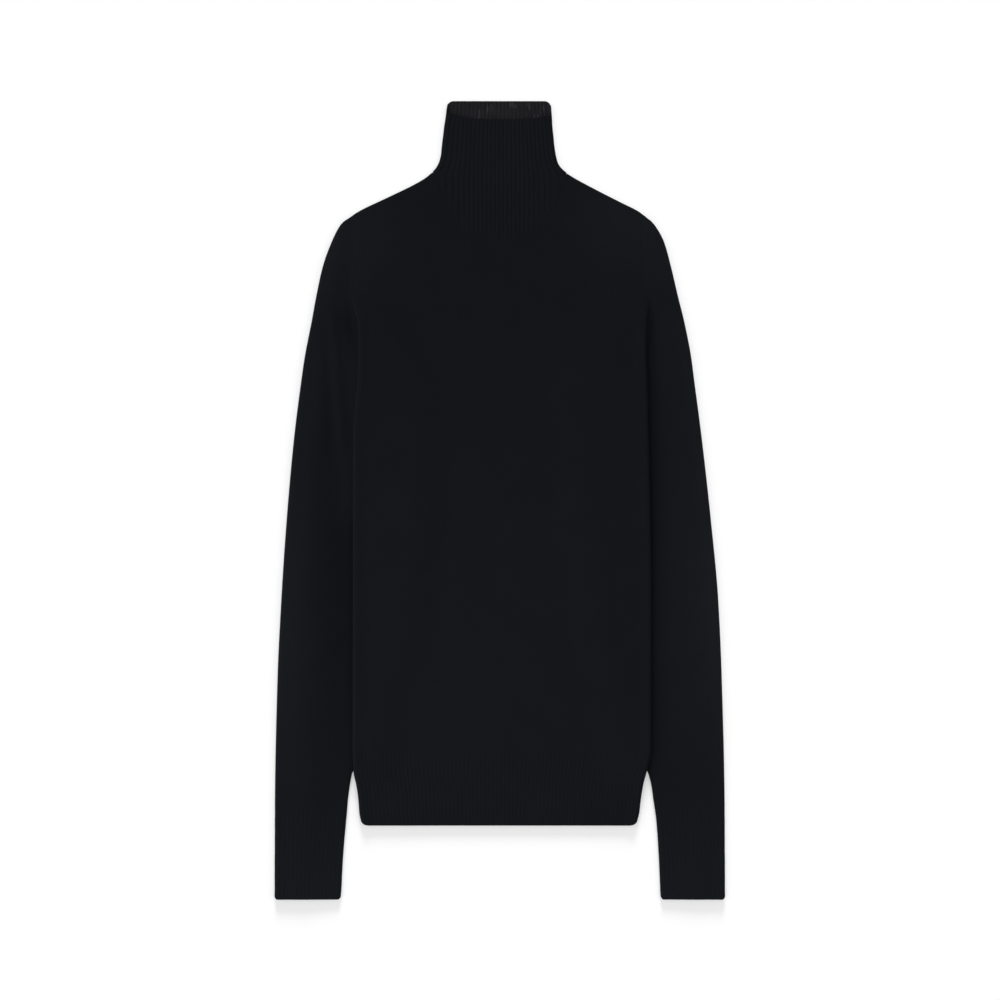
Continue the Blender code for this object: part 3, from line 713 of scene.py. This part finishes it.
def cuff(name, node, side, materials):
    points_across = CUFF_RIBS * POINTS_PER_RIB + 1
    loop = loop_columns(points_across, points_across, CUFF_RIBS)
    y, thickness, raised, depth = soft_ribs(CUFF_END_Y, CUFF_RIB_TOP, loop.ribs)
    points = sleeve_points(loop, y, y, side, depth, raised)
    wales = loop.ribs * RIB_PITCH
    return lay_cloth((name, node, "rib_knit"), points, wales, thickness, OPEN_FOOT, materials,
                     turned=side < 0)


# ---- collar

Ring = namedtuple("Ring", "side share angle")


def collar(name, node, materials):
    points_across = COLLAR_RIBS * POINTS_PER_RIB + 1
    points_round = FOLD_RIBS * POINTS_PER_RIB
    turn = np.linspace(0.0, math.pi, points_round + 1)[1:-1]
    across = np.linspace(-1.0, 1.0, points_across)
    across_side = np.where(across < 0.0, -1.0, 1.0)
    side, share, angle = joined(Ring, (
        (across_side, np.abs(across), 0.0),
        (1.0, 1.0, turn),
        (across_side[::-1], np.abs(across), math.pi),
        (-1.0, 1.0, turn[::-1]),
        (-1.0, [1.0], 0.0),
    ))
    ribs = np.arange(len(share)) / POINTS_PER_RIB
    foot_width = UPRIGHT_FOOT + (NECK_POINT[0] - UPRIGHT_FOOT) * share ** FANNED
    wide = (foot_width - FOLD_ROUND) * share + FOLD_ROUND * np.sin(angle)
    toward_back = smooth_step((1.0 - np.cos(angle)) / 2)
    side_dip = np.where(side < 0, COLLAR_SIDE_DIPS[0], COLLAR_SIDE_DIPS[1])
    dip = COLLAR_FRONT_DIP + (side_dip - COLLAR_FRONT_DIP) * share ** NECK_CURVE
    rim = COLLAR_TOP - dip * (1.0 - smooth_step((1.0 - np.cos(angle)) / RIM_CLIMB))
    drop = NECK_DROP + (BACK_NECK_DROP - NECK_DROP) * toward_back
    foot = neckline(side * wide, drop)
    down = np.linspace(0.0, 1.0, COLLAR_ROWS)[:, None]
    rim_rows = np.array(RIM_ROWS[-2::-1])[:, None]
    y = np.concatenate([foot + (rim - RIM_ROWS[-1] - foot) * down, rim - rim_rows])
    off_fold = FOLD_ROUND * (1.0 - np.abs(np.sin(angle)) ** CORNER_FULL)
    rim_corners = np.array(COLLAR_CORNERS)[(side > 0).astype(int)].T
    y = y - corner(-y, off_fold + UPRIGHT_RIM * (1.0 - share), -COLLAR_TOP, rim_corners)
    ribbed = FOOT_RIB + (1.0 - FOOT_RIB) * smooth_step((y - foot) / FOOT_RIB_FADE)
    thickness, raised, depth = ribbing(ribbed, COLLAR_RIB, ribs, y)
    mouth = MOUTH * smooth_step(1.0 - (COLLAR_TOP - y) / COLLAR_MOUTH_LENGTH)
    height = STACK + raised + mouth
    # the side folds follow the outline, the ribs in the middle stay upright
    above_foot = smooth_step((y - NECK_POINT[1]) / (COLLAR_TOP - NECK_POINT[1]))
    upright = UPRIGHT_FOOT + (UPRIGHT_RIM - UPRIGHT_FOOT) * above_foot
    width = upright + (by_side(COLLAR_EDGE, side, y) - upright) * share ** FANNED
    # above the front's rim the back lies open, out to its full width
    opened = smooth_step((y - COLLAR_TOP + dip) / dip) * (angle > math.pi / 2)
    round_x = np.abs(np.sin(angle)) ** (1.0 - BACK_OPENS * opened)
    # and below the neck points the side folds flatten into the shoulders
    below_neck = np.maximum(shoulder_edge(side * NECK_POINT[0]) - y, 0.0) / NECK_SLOPE
    over = np.clip(round_x - below_neck / FOLD_ROUND, 0.0, 1.0)
    level = np.copysign(np.sqrt(1.0 - over**2), np.cos(angle))
    level = np.where(below_neck > 0.0, level, np.cos(angle))
    x = (width - FOLD_ROUND) * share + FOLD_ROUND * round_x - depth * over
    z = height / 2 + (height / 2 - depth) * level
    z = z + upper_relief(side * x, y) * smooth_step(level)
    points = np.stack([side * x, y, z], axis=2)
    wales = ribs * RIB_PITCH
    return lay_cloth((name, node, "rib_knit"), points, wales, thickness, OPEN_TOP, materials,
                     ring=True)


def neck_linking(name, material):
    """The chain of yarn that links the collar to the front, sunk into the join."""
    x = np.linspace(-LINK_END, LINK_END, NECK_PATH_POINTS)
    y = neckline(x, NECK_DROP)
    z = STACK + upper_relief(x, y) - LINK_SUNK
    path = bpy.data.curves.new("neck_path", "CURVE")
    path.dimensions = "3D"
    path.twist_mode = "Z_UP"
    spline = path.splines.new("POLY")
    spline.points.add(len(x) - 1)
    spline.points.foreach_set("co", np.stack([x, y, z, np.ones_like(x)], axis=1).reshape(-1))
    guide = bpy.data.objects.new("neck_path", path)
    bpy.context.scene.collection.objects.link(guide)
    bpy.ops.object.select_all(action="DESELECT")
    bpy.ops.mesh.primitive_torus_add(major_segments=LINK_STEPS, minor_segments=YARN_STEPS,
                                     major_radius=LINK_WIDTH / 2, minor_radius=LINK_YARN / 2)
    piece = bpy.context.object
    piece.name = name
    piece.data.name = name
    bpy.ops.object.mode_set(mode="EDIT")
    bpy.ops.mesh.select_all(action="SELECT")
    bpy.ops.transform.resize(value=(LINK_STRETCH, 1.0, LINK_FLATTENED))
    bpy.ops.object.mode_set(mode="OBJECT")
    piece.data.materials.append(material)
    row = piece.modifiers.new("row", "ARRAY")
    row.fit_type = "FIT_CURVE"
    row.curve = guide
    row.use_relative_offset = False
    row.use_constant_offset = True
    row.constant_offset_displace = (LINK_STEP, 0.0, 0.0)
    along = piece.modifiers.new("along", "CURVE")
    along.object = guide
    bpy.ops.object.modifier_apply(modifier=row.name)
    bpy.ops.object.modifier_apply(modifier=along.name)
    bpy.data.objects.remove(guide)
    bpy.ops.object.shade_smooth_by_angle(angle=LINK_SMOOTH_ANGLE)
    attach(piece, "root")
    return piece


# ---- yarn and knit

STITCH_SLANT = 0.95  # courses that a leg of the V climbs on its way out
STRAND_POWER = 0.7  # the lower, the fuller the yarn across a strand
LEG_POWER = 0.5  # and across a leg
LEG_HEIGHT = 0.65  # share of the yarn's height that is lost between two legs
# Sizes of the painted glints along the ribs of the collar's inside
STREAKS = (430.0, 110.0, 1.0)  # to a metre, across the ribs and along them
STREAK_PATCHES = 70.0  # to a metre
PATCH_WEIGHT = 0.8  # against that of the streaks
STREAK_START = 1.00  # sum of both at which a streak begins
STREAK_FULL = 1.30
STREAK_DETAIL = 1.0
FIBRES = 1900.0  # to a metre
FIBRE_DETAIL = 3.0
FIBRE_CURL = 1.2
SHADES = 22.0  # to a metre
SHADE_DETAIL = 4.0
PAINTED_STITCH_GAP_SHADE = 0.35  # how far stitches, fuzz and slow shades go from deep to light; for the stitches it is painted shade in their gaps
FUZZ_TONE = 0.35
SHADE_TONE = 0.20
ROUGHNESS = 0.86
FUZZ_ROUGHNESS = 0.12  # the fuzz adds this
FUZZ_RELIEF = 0.30  # height of the fuzz against a stitch
RELIEF_STRENGTH = 0.6
RELIEF_HEIGHT = 0.0003
WOOL_SHINE = {
    "Metallic": 0.0,
    "Specular IOR Level": 0.06,
    "Sheen Weight": 0.03,
    "Sheen Roughness": 0.45,
    "Sheen Tint": (0.75, 0.82, 1.0, 1.0),
}
Wool = namedtuple("Wool", "deep light start_tone stitch_relief furrow_shade streak_shine")
NAVY = ((0.0024, 0.0027, 0.0041, 1.0), (0.0084, 0.0091, 0.0118, 1.0))
# the inside of the collar is the reverse of its knit, with its colour painted far lighter as a
# painted highlight where it catches more light
INSIDE_NAVY_PAINTED_LIGHTER = ((0.0044, 0.0043, 0.0054, 1.0), (0.0490, 0.0475, 0.0535, 1.0))
PLAIN_WOOL = Wool(*NAVY, 0.17, 1.0, 0.0, 0.0)
RIB_WOOL = Wool(*NAVY, 0.17, 0.8, 0.04, 0.0)
REVERSE_WOOL_PAINTED_LIGHTER = Wool(*INSIDE_NAVY_PAINTED_LIGHTER, -0.25, 0.6, 0.08, 0.56)


class Recipe:
    """Adds nodes to a tree and joins them up."""

    def __init__(self, tree):
        self.tree = tree

    def node(self, kind, **settings):
        made = self.tree.nodes.new(kind)
        for key, value in settings.items():
            setattr(made, key, value)
        return made

    def feed(self, target, value):
        if isinstance(value, bpy.types.NodeSocket):
            self.tree.links.new(value, target)
        else:
            target.default_value = value

    def math(self, operation, first, second=0.0, third=0.0):
        made = self.node("ShaderNodeMath", operation=operation)
        for target, value in zip(made.inputs, (first, second, third)):
            self.feed(target, value)
        return made.outputs[0]

    def noise(self, place, scale, detail, curl=0.0):
        made = self.node("ShaderNodeTexNoise")
        settings = {"Vector": place, "Scale": scale, "Detail": detail, "Distortion": curl}
        for key, value in settings.items():
            self.feed(made.inputs[key], value)
        return made.outputs["Fac"]

    def group(self, nodes, place):
        """Puts a node group in and says what it finds at a place."""
        made = self.node("ShaderNodeGroup", node_tree=nodes)
        self.feed(made.inputs["Vector"], place)
        return made.outputs


def new_group(name, sizes, results):
    """A node group, the recipe to fill it, the place and sizes that it takes and what it gives."""
    group = bpy.data.node_groups.new(name, "ShaderNodeTree")
    sockets = group.interface
    sockets.new_socket(name="Vector", in_out="INPUT", socket_type="NodeSocketVector")
    for word, value in sizes.items():
        size = sockets.new_socket(name=word, in_out="INPUT", socket_type="NodeSocketFloat")
        size.default_value = value
    for word in results:
        sockets.new_socket(name=word, in_out="OUTPUT", socket_type="NodeSocketFloat")
    make = Recipe(group)
    takes = make.node("NodeGroupInput").outputs
    return group, make, takes, make.node("NodeGroupOutput").inputs


def knit_stitches():
    """Columns of V-shaped stitches on a UV map in metres. Height is 1 on the yarn and falls to 0
    in the gaps between the stitches."""
    sizes = {"Wale": WALE, "Course": COURSE}
    group, make, takes, gives = new_group("knit_stitches", sizes, ["Height"])
    split = make.node("ShaderNodeSeparateXYZ")
    make.feed(split.inputs[0], takes["Vector"])
    across = make.math("DIVIDE", split.outputs["X"], takes["Wale"])
    up = make.math("DIVIDE", split.outputs["Y"], takes["Course"])
    off_middle = make.math("ABSOLUTE", make.math("SUBTRACT", make.math("FRACT", across), 0.5))
    off_middle = make.math("MULTIPLY", off_middle, 2.0)
    slanted = make.math("FRACT", make.math("MULTIPLY_ADD", off_middle, -STITCH_SLANT, up))
    strand = make.math("SINE", make.math("MULTIPLY", slanted, math.pi))
    strand = make.math("POWER", make.math("MAXIMUM", strand, 0.0), STRAND_POWER)
    leg = make.math("SINE", make.math("MULTIPLY", off_middle, math.pi))
    leg = make.math("POWER", make.math("MAXIMUM", leg, 0.0), LEG_POWER)
    leg = make.math("MULTIPLY_ADD", leg, LEG_HEIGHT, 1.0 - LEG_HEIGHT)
    make.feed(gives["Height"], make.math("MULTIPLY", strand, leg))
    return group


def rib_furrows():
    """1 in the furrow between two ribs and 0 on top of a rib, on a UV map in metres; it places
    painted shade in the furrows.
    """
    group, make, takes, gives = new_group("rib_furrows", {"Pitch": RIB_PITCH}, ["Furrow"])
    split = make.node("ShaderNodeSeparateXYZ")
    make.feed(split.inputs[0], takes["Vector"])
    place = make.math("DIVIDE", split.outputs["X"], takes["Pitch"])
    wave = make.math("COSINE", make.math("MULTIPLY", place, math.tau))
    wave = make.math("MULTIPLY_ADD", wave, -0.5, 0.5)
    make.feed(gives["Furrow"], make.math("POWER", wave, FURROW_POWER))
    return group


def painted_glint_streaks():
    """Painted glints: patches along the ribs where the yarn catches the light, on a UV map in
    metres.
    """
    group, make, takes, gives = new_group("painted_glint_streaks", {}, ["Streak"])
    stretch = make.node("ShaderNodeVectorMath", operation="MULTIPLY")
    make.feed(stretch.inputs[0], takes["Vector"])
    make.feed(stretch.inputs[1], STREAKS)
    glint_streaks = make.noise(stretch.outputs["Vector"], 1.0, STREAK_DETAIL)
    patches = make.noise(takes["Vector"], STREAK_PATCHES, STREAK_DETAIL)
    sharp = make.node("ShaderNodeMapRange", interpolation_type="SMOOTHSTEP")
    make.feed(sharp.inputs["From Min"], STREAK_START)
    make.feed(sharp.inputs["From Max"], STREAK_FULL)
    make.feed(sharp.inputs["Value"], make.math("MULTIPLY_ADD", patches, PATCH_WEIGHT, glint_streaks))
    make.feed(gives["Streak"], sharp.outputs["Result"])
    return group


def wool_fibres():
    """Fine fuzz along the yarn, and the slow change of shade of dyed wool."""
    group, make, takes, gives = new_group("wool_fibres", {}, ["Fuzz", "Shade"])
    fuzz = make.noise(takes["Vector"], FIBRES, FIBRE_DETAIL, FIBRE_CURL)
    make.feed(gives["Fuzz"], fuzz)
    make.feed(gives["Shade"], make.noise(takes["Vector"], SHADES, SHADE_DETAIL))
    return group


def knit_material(name, groups, kind):
    """Soft matt wool: deep in the gaps between the stitches as painted shade, lighter on the yarn.
    """
    stitches, furrows, fibres, glint_streaks = groups
    material = bpy.data.materials.new(name)
    material.use_nodes = True
    tree = material.node_tree
    tree.nodes.clear()
    make = Recipe(tree)
    on_cloth = make.node("ShaderNodeUVMap").outputs["UV"]
    height = make.group(stitches, on_cloth)["Height"]
    wool = make.group(fibres, make.node("ShaderNodeTexCoord").outputs["Object"])
    # painted shade: the colour is darker in the gaps between the stitches
    tone = make.math("MULTIPLY_ADD", height, PAINTED_STITCH_GAP_SHADE, kind.start_tone)
    tone = make.math("MULTIPLY_ADD", wool["Fuzz"], FUZZ_TONE, tone)
    tone = make.math("MULTIPLY_ADD", wool["Shade"], SHADE_TONE, tone)
    # painted shade: the furrows between the ribs are darker
    if kind.furrow_shade:
        furrow = make.group(furrows, on_cloth)["Furrow"]
        tone = make.math("MULTIPLY_ADD", furrow, -kind.furrow_shade, tone)
    # painted highlight: glints where the yarn catches the light
    if kind.streak_shine:
        painted_glint = make.group(glint_streaks, on_cloth)["Streak"]
        tone = make.math("MULTIPLY_ADD", painted_glint, kind.streak_shine, tone)
    mix = make.node("ShaderNodeMix", data_type="RGBA")
    for number, value in ((0, tone), (6, kind.deep), (7, kind.light)):
        make.feed(mix.inputs[number], value)
    relief = make.math("MULTIPLY", height, kind.stitch_relief)
    relief = make.math("MULTIPLY_ADD", wool["Fuzz"], FUZZ_RELIEF, relief)
    bump = make.node("ShaderNodeBump")
    make.feed(bump.inputs["Strength"], RELIEF_STRENGTH)
    make.feed(bump.inputs["Distance"], RELIEF_HEIGHT)
    make.feed(bump.inputs["Height"], relief)
    shader = make.node("ShaderNodeBsdfPrincipled")
    for key, value in WOOL_SHINE.items():
        make.feed(shader.inputs[key], value)
    rough = make.math("MULTIPLY_ADD", wool["Fuzz"], FUZZ_ROUGHNESS, ROUGHNESS)
    make.feed(shader.inputs["Base Color"], mix.outputs[2])
    make.feed(shader.inputs["Roughness"], rough)
    make.feed(shader.inputs["Normal"], bump.outputs["Normal"])
    out = make.node("ShaderNodeOutputMaterial")
    make.feed(out.inputs["Surface"], shader.outputs["BSDF"])
    return material


# ---- floor, light and camera

FLOOR_SIZE = 14.0
FLOOR_LEVEL = -0.0002
FLOOR_WHITE = (0.9, 0.9, 0.9, 1.0)
ROOM_LIGHT = 0.25  # strength of the white room on everything in it
ROOM_SEEN = 0.80  # the camera sees it brighter by this
CAMERA_HEIGHT = 3.2
PICTURE_WIDTH = 1.1  # what the camera sees from side to side on the surface
CAMERA_ASIDE = 0.0002
SENSOR_WIDTH = 36.0
CAMERA_REACH = 30.0
STRIP_HEIGHT = 1.0
# Far lights: degrees round from +X, degrees up, degrees of softness, strength
SUNS = table("name round_from_x above spread strength lit", (
    ("floor_shadow", 90.0, 16.0, 18.0, 2.33, "floor"),
    ("floor_fill", 0.0, 90.0, 10.0, 1.44, "floor"),
    ("floor_minus_x", 180.0, 45.0, 60.0, 0.48, "floor"),
    ("floor_plus_x", 0.0, 45.0, 60.0, 0.48, "floor"),
    ("body_minus_x", 183.0, 34.0, 56.0, 2.66, "body"),
    ("body_plus_x", 0.0, 30.0, 45.0, 0.96, "body"),
    ("arms_minus_x", 183.0, 34.0, 56.0, 2.00, "arms"),
    ("arms_plus_x", 0.0, 30.0, 45.0, 0.70, "arms"),
))
# Boxes with a grid in front that shine straight down: place, size, degrees of spread, watts
STRIPS = table("name x y wide tall spread power lit", (
    ("edge_minus_x", -0.42, 0.02, 0.03, 0.60, 28.0, 0.96, "arms"),
    ("edge_plus_x", 0.40, 0.07, 0.03, 0.60, 28.0, 0.92, "arms"),
    ("arms_top", 0.0, 0.40, 1.0, 0.05, 40.0, 0.36, "arms"),
    ("arms_low", 0.0, -0.90, 1.6, 0.05, 98.0, 3.2, "arms"),
    ("cuffs", 0.0, -0.80, 1.6, 0.05, 56.7, 1.60, "arms"),
    ("body_low", -0.15, -0.15, 0.50, 0.50, 30.0, 0.105, "body"),
    ("hem", 0.0, -0.90, 1.6, 0.05, 98.0, 0.9, "body"),
    ("shoulder_minus_x", -0.165, 0.285, 0.03, 0.09, 9.0, 0.0066, "cloth"),
    ("shoulder_plus_x", 0.138, 0.312, 0.05, 0.05, 10.0, 0.0075, "cloth"),
    ("neck", 0.0, 0.385, 0.10, 0.03, 10.0, 0.003, "body"),
    ("inner_minus_x", -0.163, 0.080, 0.01, 0.20, 4.0, 0.006, "arms"),
))


def white_floor():
    bpy.ops.object.select_all(action="DESELECT")
    bpy.ops.mesh.primitive_plane_add(size=FLOOR_SIZE, location=(0.0, 0.0, FLOOR_LEVEL))
    floor = bpy.context.object
    floor.name = "floor"
    white = bpy.data.materials.new("white_floor")
    white.use_nodes = True
    shader = white.node_tree.nodes["Principled BSDF"]
    shader.inputs["Base Color"].default_value = FLOOR_WHITE
    shader.inputs["Roughness"].default_value = 1.0
    shader.inputs["Specular IOR Level"].default_value = 0.0
    floor.data.materials.append(white)
    return floor


def hang(name, light, lit):
    """A lamp that lights one group of pieces only."""
    lamp = bpy.data.objects.new(name, light)
    bpy.context.scene.collection.objects.link(lamp)
    lamp.light_linking.receiver_collection = lit
    return lamp


def sun(row, lit):
    light = bpy.data.lights.new(row.name, "SUN")
    light.energy = row.strength
    light.angle = math.radians(row.spread)
    turn = math.radians(row.round_from_x + 90.0)
    hang(row.name, light, lit).rotation_euler = (math.radians(90.0 - row.above), 0.0, turn)


def strip(row, lit):
    light = bpy.data.lights.new(row.name, "AREA")
    light.shape = "RECTANGLE"
    light.size = row.wide
    light.size_y = row.tall
    light.spread = math.radians(row.spread)
    light.energy = row.power
    hang(row.name, light, lit).location = (row.x, row.y, STRIP_HEIGHT)


def lit_by(name, pieces):
    group = bpy.data.collections.new(name)
    for piece in pieces:
        group.objects.link(piece)
    return group


def lights(floor, body, arms):
    """Floor, body and sleeves have lamps of their own, as if flags stood between them. Only the
    two at the shoulders light body and sleeves together."""
    lit = {"floor": [floor], "body": body, "arms": arms, "cloth": body + arms}
    groups = {word: lit_by(f"lit_{word}", pieces) for word, pieces in lit.items()}
    for row in SUNS:
        sun(row, groups[row.lit])
    for row in STRIPS:
        strip(row, groups[row.lit])


def studio_white():
    world = bpy.data.worlds.new("studio")
    world.use_nodes = True
    bpy.context.scene.world = world
    tree = world.node_tree
    tree.nodes.clear()
    make = Recipe(tree)
    seen = make.node("ShaderNodeLightPath")
    background = make.node("ShaderNodeBackground")
    background.inputs["Color"].default_value = (1.0, 1.0, 1.0, 1.0)
    strength = make.math("MULTIPLY_ADD", seen.outputs["Is Camera Ray"], ROOM_SEEN, ROOM_LIGHT)
    make.feed(background.inputs["Strength"], strength)
    out = make.node("ShaderNodeOutputWorld")
    make.feed(out.inputs["Surface"], background.outputs["Background"])


def camera_above():
    """Straight above the garment, looking down."""
    data = bpy.data.cameras.new("camera")
    data.sensor_width = SENSOR_WIDTH
    data.lens = SENSOR_WIDTH * CAMERA_HEIGHT / PICTURE_WIDTH
    data.clip_end = CAMERA_REACH
    camera = bpy.data.objects.new("camera", data)
    camera.location = (CAMERA_ASIDE, CAMERA_ASIDE, CAMERA_HEIGHT)
    bpy.context.scene.collection.objects.link(camera)
    bpy.context.scene.camera = camera


def dress():
    groups = (knit_stitches(), rib_furrows(), wool_fibres(), painted_glint_streaks())
    plain = knit_material("plain_knit_wool", groups, PLAIN_WOOL)
    rib = knit_material("rib_knit_wool", groups, RIB_WOOL)
    # the collar's inside: reverse knit painted lighter as if lit more, with painted glints
    rib_inside_painted_lighter = knit_material("rib_knit_reverse_painted_lighter", groups, REVERSE_WOOL_PAINTED_LIGHTER)
    front = body_panel("front_knit", "front_panel", FRONT, [plain])
    back = body_panel("back_knit", "back_panel", BACK, [plain])
    hem_front = hem("hem_front_knit", "hem_rib_front", FRONT, [rib])
    hem_back = hem("hem_back_knit", "hem_rib_back", BACK, [rib])
    arms = []
    for side, word in ((PLUS_X, "left"), (MINUS_X, "right")):
        arm = sleeve(f"sleeve_{word}_knit", f"sleeve_{word}", side, [plain])
        wrist = cuff(f"cuff_{word}_knit", f"cuff_{word}", side, [rib])
        arms += [arm, wrist]
    neck = collar("collar_knit", "collar", [rib, rib_inside_painted_lighter])
    chain = neck_linking("neck_linking", rib)
    return [front, back, hem_front, hem_back, neck, chain], arms


camera_above()
studio_white()
ground = white_floor()
body_pieces, arm_pieces = dress()
lights(ground, body_pieces, arm_pieces)
bpy.context.scene.view_settings.view_transform = "Standard"
